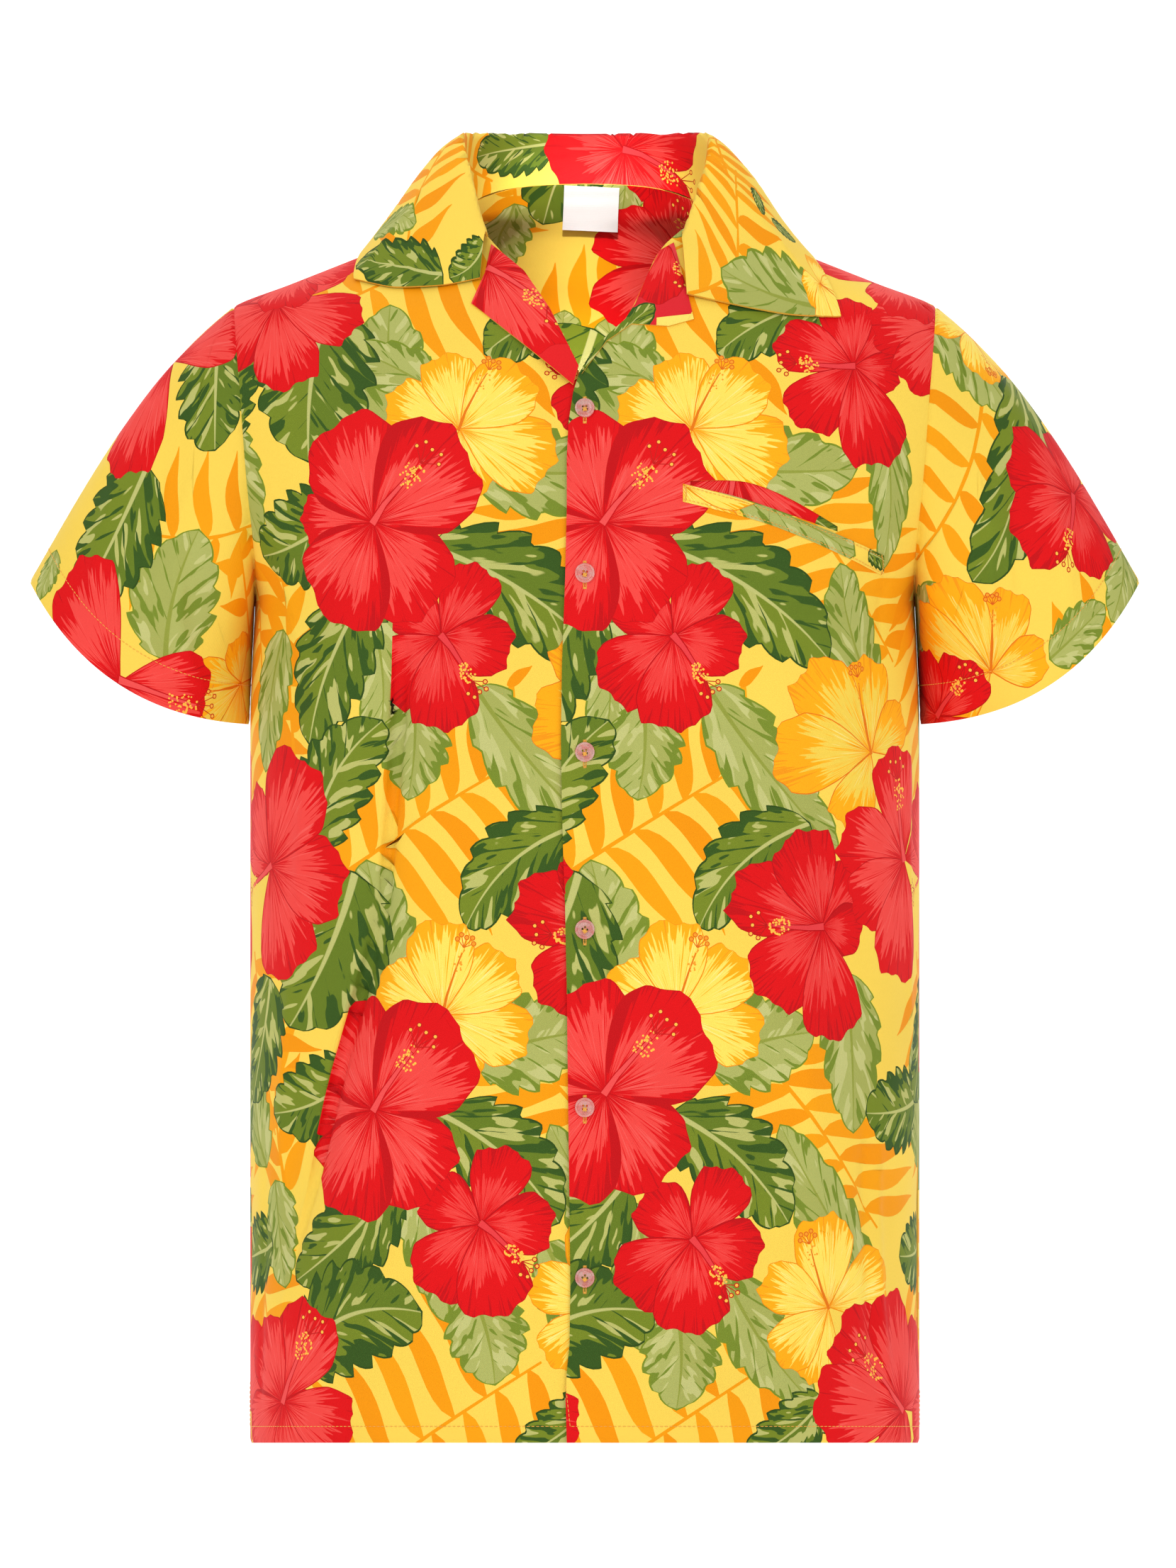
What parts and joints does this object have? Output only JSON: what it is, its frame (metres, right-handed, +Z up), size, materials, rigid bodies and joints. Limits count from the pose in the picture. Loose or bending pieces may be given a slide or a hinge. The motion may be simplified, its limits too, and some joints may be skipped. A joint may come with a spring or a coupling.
{
  "type": "short-sleeved camp-collar shirt",
  "caption": "Hollow short-sleeved button shirt as worn, with an open camp collar, slanted chest pocket and an all-over hibiscus and palm-leaf print.",
  "frame": {"origin": "on the centre line between the shoulders, level with the high shoulder points where the collar's fall meets the shoulders", "axes": "+Z up along the shirt's length, the wearer faces -Y, and +X is the wearer's left"},
  "size_m": [0.714, 0.3057, 0.8423],
  "materials": {
    "printed_cloth": "smooth light plain weave with a slight sheen, printed all over in red, yellow and green",
    "label_cloth": "white satin label tape, blank",
    "button_resin": "glossy translucent resin"
  },
  "bodies": {
    "root": {"back": "printed_cloth", "front_left": "printed_cloth", "front_right": "printed_cloth", "sleeve_left": "printed_cloth", "sleeve_right": "printed_cloth", "collar": "printed_cloth", "facing_left": "printed_cloth", "facing_right": "printed_cloth", "pocket_welt": "printed_cloth", "pocket_facing": "printed_cloth", "neck_label": "label_cloth", "button_1": "button_resin", "button_2": "button_resin", "button_3": "button_resin", "button_4": "button_resin", "button_5": "button_resin", "button_6": "button_resin"}
  },
  "joints": []
}
